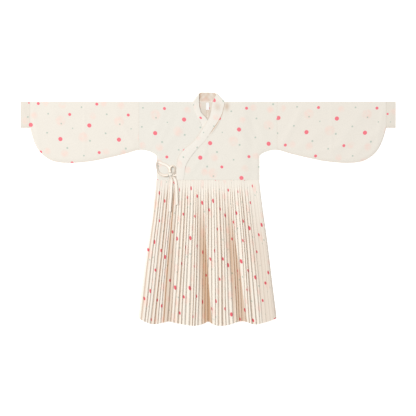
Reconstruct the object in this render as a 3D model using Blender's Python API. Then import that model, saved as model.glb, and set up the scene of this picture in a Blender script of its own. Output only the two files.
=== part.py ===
"""A ming-style long shirt laid flat on its back, as solid walls of cloth.

The collar points to +Y, the wearer's left sleeve to +X and the front looks up to +Z.
The origin is the middle of the ground under it. Lengths are millimetres until the last
step, where every mesh is made in metres.
"""
import math

import bmesh
import bpy
import numpy as np

for old in list(bpy.data.objects):
    bpy.data.objects.remove(old, do_unlink=True)

METRE = 0.001

# Cloth
CLOTH = 1.2          # wall of a single layer, nap and softness included
DOUBLE = 2.0         # wall of the doubled collar band
SEAM = 0.3           # gap left between two pieces that are sewn edge to edge
LAYER = 0.4          # gap between two layers that lie on each other

# Main sizes of the garment
HALF_SPAN = 937.5    # centre back to the end of the sleeve
SHOULDER = 537.5     # the straight fold along the shoulders and sleeves
WAIST = 145.0        # seam between bodice and skirt
HALF_CHEST = 257.5   # half the flat width of the bodice
JOIN = 345.0         # centre to the seam between body and sleeve
CUFF_START = 890.0   # where the cuff is sewn on
CUFF_DEPTH = 132.0   # flat depth of the cuff
UNDERARM = 272.5     # from the shoulder fold down to the top of the side seam

# Heights of the layers, measured to the middle of each wall
BACK_Z = CLOTH / 2
LIP_Z = BACK_Z + CLOTH + SEAM
INNER_Z = 3.8
OUTER_Z = 6.6
BACK_BAND_Z = DOUBLE / 2
INNER_BAND_Z = INNER_Z - CLOTH / 2 + DOUBLE / 2
OUTER_BAND_Z = OUTER_Z - CLOTH / 2 + DOUBLE / 2

# Skirt
PLEATS = 40          # pleats across the whole width of the skirt
OVERLAP_EDGE = 0.19  # where the outer front's edge falls, as a share of the width
INNER_END = 0.81     # where the hidden inner front ends, as a share of the width
HEM_FALL = 705.0     # waist seam to hem, before the waves


def blend(share):
    """A smooth step from 0 to 1."""
    share = min(max(share, 0.0), 1.0)
    return share * share * (3 - 2 * share)


def column(table, name):
    """One named column of a table whose first row holds the names."""
    place = table[0].index(name)
    return np.array([row[place] for row in table[1:]], float)


def read(table, at, value, x):
    """The value of one column where another column is x, straight between rows."""
    return float(np.interp(x, column(table, at), column(table, value)))


def material(name, colour, roughness):
    """A plain cloth finish."""
    made = bpy.data.materials.new(name)
    made.use_nodes = True
    shader = made.node_tree.nodes["Principled BSDF"]
    shader.inputs["Base Color"].default_value = (*colour, 1.0)
    shader.inputs["Roughness"].default_value = roughness
    shader.inputs["Metallic"].default_value = 0.0
    return made


IVORY = (0.84, 0.79, 0.70)
CREAM = (0.80, 0.74, 0.63)
WHITE = (0.88, 0.86, 0.82)


def finish(name, mesh_data, colour, roughness=0.9):
    """Turn a closed bmesh in millimetres into a named object in metres."""
    bmesh.ops.recalc_face_normals(mesh_data, faces=mesh_data.faces)
    if mesh_data.calc_volume(signed=True) < 0:
        bmesh.ops.reverse_faces(mesh_data, faces=mesh_data.faces)
    bmesh.ops.scale(mesh_data, vec=(METRE, METRE, METRE), verts=mesh_data.verts)
    mesh = bpy.data.meshes.new(name)
    mesh_data.to_mesh(mesh)
    mesh_data.free()
    made = bpy.data.objects.new(name, mesh)
    mesh.materials.append(material(name, colour, roughness))
    bpy.context.scene.collection.objects.link(made)
    return made


def wall(name, grid, thickness, colour, keep=None):
    """A closed wall of even thickness round a grid of points on its middle surface.

    keep holds one truth for each cell of the grid; cells that are False are cut out.
    """
    grid = np.asarray(grid, float)
    rows, columns = grid.shape[:2]
    if keep is None:
        keep = np.ones((rows - 1, columns - 1), bool)
    across = grid[1:, 1:] - grid[:-1, :-1]
    along = grid[:-1, 1:] - grid[1:, :-1]
    facing = np.cross(across, along)
    facing /= np.linalg.norm(facing, axis=2, keepdims=True)

    mesh_data = bmesh.new()
    faces_of = {}
    for i, j in zip(*np.nonzero(keep)):
        for corner in ((i, j), (i + 1, j), (i + 1, j + 1), (i, j + 1)):
            faces_of.setdefault(corner, []).append(facing[i, j])
    upper, lower = {}, {}
    for corner, normals in faces_of.items():
        middle = np.sum(normals, axis=0)
        middle /= np.linalg.norm(middle)
        mitre = 1.0 / max(0.55, min(float(middle @ normal) for normal in normals))
        offset = middle * mitre * thickness / 2
        for skin, point in ((upper, grid[corner] + offset), (lower, grid[corner] - offset)):
            point[2] = max(point[2], 0.0)
            skin[corner] = mesh_data.verts.new(point)

    edges = {}
    for i, j in zip(*np.nonzero(keep)):
        ring = [(i, j), (i + 1, j), (i + 1, j + 1), (i, j + 1)]
        mesh_data.faces.new([upper[c] for c in ring])
        mesh_data.faces.new([lower[c] for c in reversed(ring)])
        for start, end in zip(ring, ring[1:] + ring[:1]):
            if (end, start) in edges:
                del edges[(end, start)]
            else:
                edges[(start, end)] = True
    for start, end in edges:
        mesh_data.faces.new((upper[end], upper[start], lower[start], lower[end]))
    return finish(name, mesh_data, colour)


def fold(y_top, radius, z_low, steps=4):
    """Points (y, z) round a fold that is open towards -Y, without its two ends."""
    centre = y_top - CLOTH / 2 - radius
    points = []
    for step in range(1, steps):
        turn = math.pi * (step / steps - 0.5)
        points.append((centre + radius * math.cos(turn), z_low + radius + radius * math.sin(turn)))
    return points


# The collar band's course. The two halves cross at the breast; free is the edge at the
# neck, seam is the edge sewn to the body. across grows towards the half's own side.
BAND_LOWER = (
    ("free_across", "free_up", "seam_across", "seam_up"),
    (-20.0, 415.0, 17.5, 390.0),
    (-55.0, 360.0, -22.0, 333.5),
    (-82.0, 330.0, -53.5, 301.0),
    (-125.0, 295.0, -87.5, 258.5),
    (-150.0, 255.0, -110.0, 220.0),
    (-158.5, 205.0, -117.0, 187.5),
    (-158.5, WAIST + SEAM, -122.5, WAIST + SEAM),
)
BAND_OUTER_NECK = (
    BAND_LOWER[0],
    (42.5, 577.0, 82.5, 533.9),
    (30.0, 550.0, 79.0, 512.0),
    (21.5, 527.5, 75.0, 497.0),
    (16.5, 495.0, 71.0, 480.0),
    (3.0, 452.5, 45.5, 431.0),
)
BAND_INNER_NECK = (
    BAND_LOWER[0],
    (44.0, 578.0, 78.5, 535.3),
    (45.0, 530.0, 73.5, 515.0),
    (36.0, 486.5, 62.0, 475.0),
    (7.0, 451.5, 40.0, 436.0),
)
BACK_NECK = 535.3    # the body's edge at the middle of the back neck
BAND_BACK = (
    BAND_LOWER[0],
    (-37.2, 581.5, -66.0, 535.6),
    (-18.6, 583.0, -33.0, 535.6),
    (0.0, 583.0, 0.0, 535.6),
    (18.6, 582.5, 33.0, 535.0),
    (36.0, 580.0, 63.8, 534.5),
)


def band_course(neck):
    """All rows of one half of the band, from the neck down, without the names."""
    return neck[1:] + BAND_LOWER[1:]


def seam_line(neck):
    """The body's edge along the band, as rising lists of across and up."""
    rows = sorted((row[2], row[3]) for row in band_course(neck))
    return [row[0] for row in rows], [row[1] for row in rows]


SLANT = 1.45         # the band's fold line slants, so its fold reaches further up
LEAN = 0.3           # how far the band's seam edge leans inwards round its fold


def round_fold(turn, radius):
    """Steps of the band's fold at the neck: inwards at the seam, up and above the ground."""
    lean = math.cos(math.radians(turn))
    rise = 1 + math.sin(math.radians(turn))
    return LEAN * lean, SLANT * radius * lean, BACK_BAND_Z + radius * rise


def collar_band():
    """One long doubled band: inner end, neck, outer end. It bends over at both sides."""
    sections = []
    inner_radius = (INNER_BAND_Z - BACK_BAND_Z) / 2
    outer_radius = (OUTER_BAND_Z - BACK_BAND_Z) / 2
    for row in reversed(band_course(BAND_INNER_NECK)):
        sections.append(((-row[0], row[1], INNER_BAND_Z), (-row[2], row[3], INNER_BAND_Z)))
    first = BAND_INNER_NECK[1]
    for turn in (45, 0, -45, -90):
        side, up, height = round_fold(turn, inner_radius)
        free = (-first[0], first[1] + up, height)
        sections.append((free, (-first[2] + side, first[3] + max(up, 2 * SEAM), height)))
    for free_across, free_up, seam_across, seam_up in BAND_BACK[1:]:
        free = (free_across, free_up, BACK_BAND_Z)
        sections.append((free, (seam_across, seam_up + SEAM, BACK_BAND_Z)))
    first = BAND_OUTER_NECK[1]
    for turn in (-90, -45, 0, 45):
        side, up, height = round_fold(turn, outer_radius)
        free = (first[0], first[1] + up, height)
        sections.append((free, (first[2] - side, first[3] + max(up, 2 * SEAM), height)))
    for row in band_course(BAND_OUTER_NECK):
        sections.append(((row[0], row[1], OUTER_BAND_Z), (row[2], row[3], OUTER_BAND_Z)))
    grid = []
    for free, seam in sections:
        free, seam = np.array(free), np.array(seam)
        grid.append([free, (free + seam) / 2, seam])
    return wall("collar_band", grid, DOUBLE, WHITE)


# Lower edge of the sleeve and of the body beyond the side seam, from the shoulder fold
SLEEVE_HANG = (
    ("across", "depth"),
    (HALF_CHEST, UNDERARM),
    (266.0, 264.0),
    (280.0, 256.0),
    (300.0, 248.0),
    (JOIN, 242.5),
    (400.0, 257.5),
    (450.0, 270.5),
    (510.0, 284.0),
    (580.0, 298.0),
    (640.0, 305.0),
    (700.0, 307.5),
    (750.0, 303.5),
    (785.0, 294.0),
    (812.0, 278.0),
    (833.0, 260.0),
    (851.0, 238.0),
    (865.0, 212.0),
    (876.0, 184.0),
    (884.0, 158.0),
    (CUFF_START, 134.0),
)


def hang(across):
    """How far the lower edge lies under the shoulder fold."""
    return read(SLEEVE_HANG, "across", "depth", across)


# The outer front stands higher where it crosses the inner one, and comes down to the
# common height between these two places across: along the shoulder and down the front.
SHOULDER_EASE = (83.0, 203.0)
FRONT_EASE = (170.0, 230.0)
RIM = 14.0           # width of the slope down to the seams along the garment's edge


def eased(across, ease):
    """0 at the first place across, 1 at the second and beyond."""
    return blend((across - ease[0]) / (ease[1] - ease[0]))


def fold_radius(across, outer):
    """Half the spread of the shoulder fold; the outer front stands higher at the neck."""
    wide = (OUTER_Z - BACK_Z) / 2
    narrow = (INNER_Z - BACK_Z) / 2
    if not outer:
        return narrow
    return wide + (narrow - wide) * eased(across, SHOULDER_EASE)


def front_height(across, up, outer):
    """Middle of the front's wall above the ground."""
    full = INNER_Z
    if outer:
        full = OUTER_Z + (INNER_Z - OUTER_Z) * eased(across, FRONT_EASE)
    rim = max(HALF_CHEST - across, 0.0)
    if across > HALF_CHEST or up > SHOULDER - UNDERARM:
        rim = max(rim, up - (SHOULDER - hang(max(across, HALF_CHEST))))
    return LIP_Z + (full - LIP_Z) * blend(rim / RIM)


BODY_STATIONS_OUTER = (
    SEAM, 17.8, 45.8, 71.3, 75.3, 79.3, 83.6, 110.0, 150.0, 190.0, 220.0, 238.0,
    248.0, HALF_CHEST, 266.0, 280.0, 300.0, JOIN - SEAM / 2,
)
BODY_STATIONS_INNER = (
    -121.6, -116.7, -109.7, -87.2, -53.2, -21.7, SEAM, 17.8, 40.3, 62.3, 73.8, 79.8,
    110.0, 150.0, 190.0, 220.0, 238.0, 248.0, HALF_CHEST, 266.0, 280.0, 300.0, JOIN - SEAM / 2,
)


def body_half(name, side, outer, stations, neck):
    """Back and front in one cut, folded at the shoulder, with the neck cut out.

    side is +1 for the wearer's left and -1 for the right. Rows run from the back's waist
    up over the shoulder fold and down to the front's waist.
    """
    line_across, line_up = seam_line(neck)
    neck_point = next(s for s in stations if s > neck[1][2])
    bottom = WAIST + SEAM
    grid = []
    for across in stations:
        radius = fold_radius(across, outer)
        back_top = SHOULDER - CLOTH / 2 - radius
        arm_row = SHOULDER - hang(max(across, HALF_CHEST))
        if across < neck_point:
            front_top = float(np.interp(across - SEAM, line_across, line_up)) - SEAM
            if outer:
                at_neck = SHOULDER - CLOTH / 2 - fold_radius(neck_point, outer)
                back_top = BACK_NECK + (at_neck - BACK_NECK) * max(across, 0) / neck_point
        else:
            front_top = back_top
        arm_front = min(arm_row, bottom + 0.7 * (front_top - bottom))
        line = [(bottom, BACK_Z), ((bottom + arm_row) / 2, BACK_Z), (arm_row, BACK_Z)]
        line.append(((arm_row + back_top) / 2, BACK_Z))
        line.append((back_top, BACK_Z))
        line += fold(SHOULDER, radius, BACK_Z)
        last = [front_top]
        last += [arm_front + (front_top - arm_front) * share for share in (0.66, 0.33, 0.1, 0.0)]
        last += [bottom + (arm_front - bottom) * 0.5, bottom]
        line += [(up, front_height(across, up, outer)) for up in last]
        grid.append([(side * across, up, height) for up, height in line])
    rows, columns = len(grid), len(grid[0])
    keep = np.ones((rows - 1, columns - 1), bool)
    for i in range(rows - 1):
        start = stations[i]
        if start < neck_point:
            keep[i, 4:8] = False
        if start < 0:
            keep[i, :4] = False
        if start >= HALF_CHEST:
            keep[i, :2] = False
            keep[i, columns - 3:] = False
    return wall(name, grid, CLOTH, IVORY, keep)


def front_overlap():
    """The outer front's strip left of the centre front seam, under the band's seam edge."""
    line_across, line_up = seam_line(BAND_OUTER_NECK)
    grid = []
    rows = [row[3] - SEAM for row in BAND_LOWER[2:-1]]
    for up in [WAIST + SEAM] + sorted(rows) + [357.0]:
        edge = float(np.interp(up + SEAM, line_up, line_across)) + SEAM
        reach = -SEAM / 2 - edge
        grid.append([(edge + reach * share, up, OUTER_Z) for share in (0.0, 0.33, 0.67, 1.0)])
    return wall("front_overlap", grid, CLOTH, IVORY)


SLEEVE_STATIONS = (
    JOIN + SEAM / 2, 375.0, 410.0, 450.0, 500.0, 550.0, 600.0, 650.0, 700.0, 740.0, 772.0,
    798.0, 820.0, 838.0, 853.0, 865.0, 875.0, 883.0, CUFF_START - SEAM / 2,
)


def folded_tube(name, side, stations, depth_at, thickness, colour):
    """A flattened tube of cloth: folded along its top, seamed along its lower edge."""
    radius = (INNER_Z - BACK_Z) / 2
    grid = []
    for across in stations:
        low = SHOULDER - depth_at(across)
        back_top = SHOULDER - CLOTH / 2 - radius
        full = INNER_Z
        line = [(low + (back_top - low) * share, thickness / 2) for share in (0.0, 0.1, 0.5, 1.0)]
        line += fold(SHOULDER, radius, thickness / 2)
        for share in (1.0, 0.8, 0.55, 0.3, 0.1, 0.0):
            lip = thickness * 1.5 + SEAM
            height = lip + (full + thickness / 2 - BACK_Z - lip) * blend(share / 0.1)
            line.append((low + (back_top - low) * share, height))
        grid.append([(side * across, up, height) for up, height in line])
    return wall(name, grid, thickness, colour)


# Skirt: how wide it is under the waist seam, to the wearer's right and left
SKIRT_SIDES = (
    ("fall", "right", "left"),
    (0.0, 260.0, 256.0),
    (56.0, 266.0, 262.0),
    (155.0, 277.0, 274.0),
    (352.0, 304.0, 301.0),
    (HEM_FALL, 349.0, 341.0),
)
# How far the front's hem falls across its width, with the waves of the open pleats
HEM = (
    ("across", "fall"),
    (-349.0, 692.0),
    (-310.0, 711.0),
    (-260.0, 720.0),
    (-225.0, 712.0),
    (-200.0, 706.0),
    (-165.0, 713.0),
    (-120.0, 722.0),
    (-70.0, 728.0),
    (-20.0, 717.0),
    (0.0, 706.0),
    (22.0, 721.0),
    (65.0, 728.0),
    (110.0, 722.0),
    (145.0, 709.0),
    (185.0, 706.0),
    (210.0, 716.0),
    (240.0, 721.0),
    (270.0, 715.0),
    (305.0, 706.0),
    (341.0, 690.0),
)
# Height of the pleats down the skirt, for each layer
PLEAT_ROWS = (
    ("fall", "back", "inner", "outer"),
    (0.0, 1.2, 1.2, 1.2),
    (0.035, 1.8, 2.2, 2.4),
    (0.09, 3.0, 4.5, 5.5),
    (0.22, 4.0, 6.0, 8.5),
    (0.5, 4.5, 7.0, 10.5),
    (1.0, 5.0, 7.5, 11.5),
)
# The open humps of the outer front: where each begins at the waist and at the hem
HUMPS = (
    ("at_waist", "at_hem"),
    (0.10, 0.10),
    (0.21, 0.246),
    (0.45, 0.533),
    (0.69, 0.791),
    (0.98, 1.05),
)


def hump(share, fall):
    """How far a hump stands open: it rises steeply and sinks slowly towards +X."""
    starts = [row[0] + (row[1] - row[0]) * fall for row in HUMPS[1:]]
    for start, end in zip(starts, starts[1:]):
        if start <= share < end:
            place = (share - start) / (end - start)
            return blend(place / 0.16) * (1 - blend((place - 0.5) / 0.5))
    return 0.0


def back_top(fall):
    """Top of the back's pleats above the ground."""
    return CLOTH + read(PLEAT_ROWS, "fall", "back", fall)


def inner_share(share):
    """How much of its pleats the inner front keeps: they flatten under the outer front."""
    return float(np.interp(share, (0.0, 0.165, 0.20, 0.27), (1.0, 1.0, 0.45, 0.0)))


def inner_rise(share, fall):
    """Height of the inner front's pleats."""
    return read(PLEAT_ROWS, "fall", "inner", fall) * inner_share(share)


def inner_base(fall):
    """Middle of the inner front's wall in the bottom of its pleats."""
    return back_top(fall) + LAYER + CLOTH / 2


def inner_top(share, fall):
    """Top of whatever lies under the outer front."""
    on_inner = inner_base(fall) + inner_rise(share, fall) + CLOTH / 2
    on_back = back_top(fall)
    return on_inner + (on_back - on_inner) * blend((share - INNER_END - 0.01) / 0.05)


def outer_base(share, fall):
    """Middle of the outer front's wall in the bottom of its pleats."""
    lift = 0.5 * blend(1 - fall / 0.1)
    lift += 3.0 * fall * hump(share, fall)
    return inner_top(share - 0.01, fall) + LAYER + CLOTH / 2 + lift


def outer_rise(share, fall):
    """Height of the outer front's pleats, more where a hump stands open."""
    full = read(PLEAT_ROWS, "fall", "outer", fall)
    return full * (0.62 + 0.38 * hump(share, fall))


def uneven(share):
    """Pleats are not all the same width."""
    return share + 0.0035 * math.sin(20.0 * share + 0.5) + 0.0012 * math.sin(57.0 * share)


def pleat_columns(start, end):
    """Places across the skirt with 0 in the bottom of a pleat and 1 on its top."""
    columns = []
    count = round((end - start) * PLEATS)
    pitch = (end - start) / count
    for pleat in range(count):
        for place, top in ((0.0, 0), (0.28, 0), (0.5, 1), (0.78, 1)):
            columns.append((uneven(start + pitch * (pleat + place)), top))
    return columns


def skirt_point(share, fall, height, hem_share=1.0):
    """A point of the skirt from its place across, its fall and its height."""
    nominal = fall * HEM_FALL
    right = read(SKIRT_SIDES, "fall", "right", nominal)
    left = read(SKIRT_SIDES, "fall", "left", nominal)
    hem_right = read(SKIRT_SIDES, "fall", "right", HEM_FALL)
    hem_left = read(SKIRT_SIDES, "fall", "left", HEM_FALL)
    reach = read(HEM, "across", "fall", -hem_right + share * (hem_right + hem_left))
    return (-right + share * (right + left), WAIST - fall * reach * hem_share, height)


def skirt_panel(name, columns, base, rise, hem_share=1.0):
    """A pleated panel. A column whose top is None is a flat lip at the side seam."""
    grid = []
    for fall in column(PLEAT_ROWS, "fall"):
        line = []
        for share, top in columns:
            if top is None:
                height = LIP_Z
            else:
                height = base(share, fall) + top * rise(share, fall)
            line.append(skirt_point(share, fall, height, hem_share))
        grid.append(line)
    return wall(name, grid, CLOTH, CREAM)


def skirt_back():
    """The back lies on the ground in the bottoms of its pleats and ends above the front's hem."""
    columns = [(0.0, 0)] + pleat_columns(0.025, 0.98) + [(0.985, 0), (1.0, 0)]
    return skirt_panel(
        "skirt_back",
        columns,
        lambda share, fall: BACK_Z,
        lambda share, fall: read(PLEAT_ROWS, "fall", "back", fall),
        hem_share=0.985,
    )


def skirt_inner_front():
    """Pleats show left of the overlap's edge; under the outer front the cloth runs flat."""
    columns = [(0.0, None), (0.006, None)] + pleat_columns(0.02, 0.27)
    columns += [(0.28, 0), (0.45, 0), (0.63, 0), (INNER_END, 0)]
    return skirt_panel(
        "skirt_inner_front",
        columns,
        lambda share, fall: inner_base(fall),
        inner_rise,
    )


def skirt_outer_front():
    """The outer front's pleats run from the overlap's edge to the left side seam."""
    columns = pleat_columns(OVERLAP_EDGE, 0.98) + [(0.9815, 0), (0.994, None), (1.0, None)]
    return skirt_panel("skirt_outer_front", columns, outer_base, outer_rise)


# The tie at the wearer's right, tied in a bow: where each stretch of tape runs, how wide
# it lies and how far it stands on its edge. up and across are from the origin.
LOOP_LARGE = (
    ("across", "up", "clear", "width", "tilt"),
    (-194.5, 181.0, 1.2, 7.0, 30.0),
    (-199.0, 200.0, 1.6, 8.0, 25.0),
    (-211.0, 216.0, 1.0, 9.5, 12.0),
    (-232.0, 228.0, 0.6, 10.0, 6.0),
    (-248.0, 235.0, 0.4, 9.0, 12.0),
    (-254.0, 229.0, 0.3, 5.5, 50.0),
    (-254.5, 212.0, 0.3, 4.5, 55.0),
    (-250.0, 192.0, 0.3, 5.5, 45.0),
    (-240.0, 177.0, 0.4, 7.0, 25.0),
    (-220.0, 168.0, 0.8, 7.5, 12.0),
    (-200.0, 170.0, 1.2, 6.5, 20.0),
)
LOOP_SMALL = (
    ("across", "up", "clear", "width", "tilt"),
    (-187.5, 182.5, 0.6, 7.0, 50.0),
    (-191.5, 196.0, 0.4, 7.5, 55.0),
    (-188.0, 210.0, 0.4, 8.0, 58.0),
    (-176.5, 216.0, 0.4, 8.0, 60.0),
    (-165.5, 209.0, 0.4, 7.5, 62.0),
    (-162.0, 194.0, 0.8, 7.5, 62.0),
    (-166.5, 180.0, 1.8, 7.0, 58.0),
    (-173.5, 173.5, 2.2, 6.5, 50.0),
)
ROOT = (
    ("across", "up", "clear", "width", "tilt"),
    (-176.5, 168.5, SEAM, 7.0, 0.0),
    (-163.0, 169.5, SEAM, 8.0, 0.0),
    (-149.0, 171.0, SEAM, 8.5, 0.0),
)
TAIL_LONG = (
    ("across", "up", "width"),
    (-187.0, 162.0, 9.0),
    (-184.0, 148.0, 11.0),
    (-183.0, 130.0, 11.5),
    (-184.5, 100.0, 11.5),
    (-186.0, 65.0, 11.5),
    (-189.5, 25.0, 11.5),
    (-191.5, -13.0, 11.5),
)
TAIL_SHORT = (
    ("across", "up", "width"),
    (-177.0, 163.0, 5.0),
    (-167.0, 150.0, 8.0),
    (-162.5, 136.0, 8.0),
    (-161.0, 110.0, 8.0),
    (-161.5, 70.0, 8.0),
    (-163.5, 22.0, 7.0),
)
TAPE = 1.0                   # thickness of the narrow tape
KNOT = (-186.0, 172.0)       # middle of the knot
KNOT_SIZE = (17.0, 13.0, 7.0)
BEND_STEPS = 3               # stretches that each row of a tape's table is rounded into


def rounded(table):
    """The table's rows with smooth steps between them, without the names."""
    rows = [np.array(row, float) for row in table[1:]]
    points = []
    for i in range(len(rows) - 1):
        start = rows[i]
        end = rows[i + 1]
        before = rows[max(i - 1, 0)]
        after = rows[min(i + 2, len(rows) - 1)]
        slope = (end - before) / 2
        bend = before - 2.5 * start + 2 * end - after / 2
        twist = (after - before) / 2 + 1.5 * (start - end)
        for step in range(BEND_STEPS):
            t = step / BEND_STEPS
            points.append(start + slope * t + bend * t * t + twist * t * t * t)
    points.append(rows[-1])
    return points


def tape(name, rows, under):
    """A strip of tape along rows of across, up, clear, width and tilt.

    clear is the height of its lower edge above the cloth that under gives.
    """
    grid = []
    for i, (across, up, clear, width, tilt) in enumerate(rows):
        before = rows[max(i - 1, 0)]
        after = rows[min(i + 1, len(rows) - 1)]
        run = np.array((after[0] - before[0], after[1] - before[1]))
        run /= np.linalg.norm(run)
        flat = math.cos(math.radians(tilt))
        stand = math.sin(math.radians(tilt))
        side = np.array((-run[1] * flat, run[0] * flat, -stand)) * width / 2
        height = under(across, up) + clear + (width * stand + TAPE * flat) / 2
        middle = np.array((across, up, height))
        grid.append([middle - side, middle, middle + side])
    return wall(name, grid, TAPE, IVORY)


def tail_rows(table):
    """Rows of a tail, which lies flat on the cloth."""
    return [(across, up, 2 * SEAM, width, 0.0) for across, up, width in rounded(table)]


def share_at(across, up):
    """Place across the skirt and fall of a point seen from above."""
    fall = (WAIST - up) / HEM_FALL
    right = read(SKIRT_SIDES, "fall", "right", fall * HEM_FALL)
    left = read(SKIRT_SIDES, "fall", "left", fall * HEM_FALL)
    return (across + right) / (right + left), fall


PLEAT_LIFT = 0.9             # what the tail climbs before the waist seam
CLIMB_LONG = 25.0            # and over what length, for each tail
CLIMB_SHORT = 18.0


def top_of_inner(across, up):
    """Highest cloth under the long tail: the bodice, then the inner front's pleats."""
    if up > WAIST:
        return INNER_Z + CLOTH / 2 + PLEAT_LIFT * blend((WAIST + CLIMB_LONG - up) / CLIMB_LONG)
    share, fall = share_at(across, up)
    return inner_base(fall) + inner_rise(0.0, fall) + CLOTH / 2


def top_of_outer(across, up):
    """Highest cloth under the short tail: the bodice and band, then the outer front's pleats."""
    at_waist = outer_base(OVERLAP_EDGE, 0.0) + outer_rise(OVERLAP_EDGE, 0.0) + CLOTH / 2
    if up > WAIST:
        climb = blend((WAIST + CLIMB_SHORT - up) / CLIMB_SHORT)
        return INNER_Z + CLOTH / 2 + (at_waist - INNER_Z) * climb
    share, fall = share_at(across, up)
    near = [share + step for step in (-0.012, 0.0, 0.012)]
    return max(outer_base(at, fall) + outer_rise(at, fall) for at in near) + CLOTH / 2


def knot(name):
    """The knot: a small flattened ball of tape."""
    mesh_data = bmesh.new()
    bmesh.ops.create_icosphere(mesh_data, subdivisions=2, radius=0.5)
    bmesh.ops.scale(mesh_data, vec=KNOT_SIZE, verts=mesh_data.verts)
    height = INNER_Z + CLOTH / 2 + SEAM + KNOT_SIZE[2] / 2
    bmesh.ops.translate(mesh_data, vec=(*KNOT, height), verts=mesh_data.verts)
    return finish(name, mesh_data, IVORY)


def label():
    """A plain woven tab on the inside of the back neck."""
    grid = []
    for across in (-10.0, -2.0, 6.0):
        grid.append([(across, up, CLOTH + SEAM + TAPE / 2) for up in (495.0, 513.0, 531.0)])
    return wall("neck_label", grid, TAPE, WHITE)


def bow():
    """Two loops, a knot, two tails and the stretch sewn under the band's end."""
    knot("tie_knot")
    tape("tie_root", [np.array(row, float) for row in ROOT[1:]], top_of_inner)
    tape("tie_loop_large", rounded(LOOP_LARGE), top_of_inner)
    tape("tie_loop_small", rounded(LOOP_SMALL), top_of_inner)
    tape("tie_tail_long", tail_rows(TAIL_LONG), top_of_inner)
    tape("tie_tail_short", tail_rows(TAIL_SHORT), top_of_outer)


collar_band()
body_half("body_right", -1, False, BODY_STATIONS_INNER, BAND_INNER_NECK)
body_half("body_left", 1, True, BODY_STATIONS_OUTER, BAND_OUTER_NECK)
front_overlap()
for word, side in (("right", -1), ("left", 1)):
    folded_tube("sleeve_" + word, side, SLEEVE_STATIONS, hang, CLOTH, IVORY)
    cuff_stations = (CUFF_START + SEAM / 2, CUFF_START + 24.0, HALF_SPAN)
    folded_tube("cuff_" + word, side, cuff_stations, lambda across: CUFF_DEPTH, 1.6, IVORY)
skirt_back()
skirt_inner_front()
skirt_outer_front()
bow()
label()
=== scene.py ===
"""A ming-style long shirt laid flat on its back: the looks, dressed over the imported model.

Lengths in the tables are millimetres, and MM turns them into metres. The collar points to
+Y, the wearer's left sleeve to +X, and the front looks up to +Z.
"""
import math

import bpy
import numpy as np
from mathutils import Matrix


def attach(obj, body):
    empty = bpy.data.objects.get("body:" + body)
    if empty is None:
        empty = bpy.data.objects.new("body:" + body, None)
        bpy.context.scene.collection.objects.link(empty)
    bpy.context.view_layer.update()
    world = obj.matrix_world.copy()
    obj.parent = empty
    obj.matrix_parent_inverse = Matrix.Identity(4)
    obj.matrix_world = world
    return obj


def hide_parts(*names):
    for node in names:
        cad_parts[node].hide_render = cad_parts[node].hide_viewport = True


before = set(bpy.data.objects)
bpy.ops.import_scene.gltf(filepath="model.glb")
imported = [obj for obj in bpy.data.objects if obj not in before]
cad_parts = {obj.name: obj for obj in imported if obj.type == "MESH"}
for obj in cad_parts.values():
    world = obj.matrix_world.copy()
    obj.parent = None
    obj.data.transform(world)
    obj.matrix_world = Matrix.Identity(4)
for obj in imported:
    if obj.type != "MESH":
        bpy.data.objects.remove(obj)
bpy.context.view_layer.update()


# Camera. It looks straight down at the shirt from high above the table, as the product
# picture was taken: the picture is 2.08 m wide at the table, 5 mm for each of its pixels.
PICTURE = 2.08
HEIGHT = 6.0
lens = bpy.data.cameras.new("camera")
lens.sensor_width = 36.0
lens.lens = lens.sensor_width * HEIGHT / PICTURE
lens.clip_end = 60.0
camera = bpy.data.objects.new("camera", lens)
camera.location = (0.0, 0.005, HEIGHT)
bpy.context.scene.collection.objects.link(camera)
bpy.context.scene.camera = camera


# Table and light. A white table under one large soft lamp from the upper left, a weak one
# overhead and a pale surround. The table glows a little, so that shadows on it stay faint.
bpy.context.scene.view_settings.view_transform = "Standard"

surround = bpy.data.worlds.new("studio")
surround.use_nodes = True
surround.node_tree.nodes["Background"].inputs["Color"].default_value = (1.0, 0.983, 0.96, 1.0)
surround.node_tree.nodes["Background"].inputs["Strength"].default_value = 0.52
bpy.context.scene.world = surround

for lamp_name, lamp_at, size, power, tint in (
    ("lamp_key", (-9.0, 5.0, 8.5), 3.6, 1120.0, (1.0, 0.99, 0.97)),
    ("lamp_top", (0.4, -0.5, 4.2), 3.0, 26.0, (1.0, 1.0, 1.0)),
):
    lamp_data = bpy.data.lights.new(lamp_name, "AREA")
    lamp_data.size = size
    lamp_data.energy = power
    lamp_data.color = tint
    lamp = bpy.data.objects.new(lamp_name, lamp_data)
    lamp.location = lamp_at
    aim = -lamp.location
    lamp.rotation_euler = aim.to_track_quat("-Z", "Y").to_euler()
    lamp.visible_camera = False
    bpy.context.scene.collection.objects.link(lamp)

bpy.ops.object.select_all(action="DESELECT")
bpy.ops.mesh.primitive_plane_add(size=14.0, location=(0.0, 0.0, -0.0006))
table = bpy.context.active_object
table.name = "table"
bpy.ops.object.transform_apply(location=True, rotation=True, scale=True)
table_top = bpy.data.materials.new("white table")
table_top.use_nodes = True
table_shader = table_top.node_tree.nodes["Principled BSDF"]
table_shader.inputs["Base Color"].default_value = (0.9, 0.9, 0.9, 1.0)
table_shader.inputs["Roughness"].default_value = 0.8
table_shader.inputs["Emission Color"].default_value = (1.0, 1.0, 1.0, 1.0)
table_shader.inputs["Emission Strength"].default_value = 0.55
table.data.materials.append(table_top)


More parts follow.
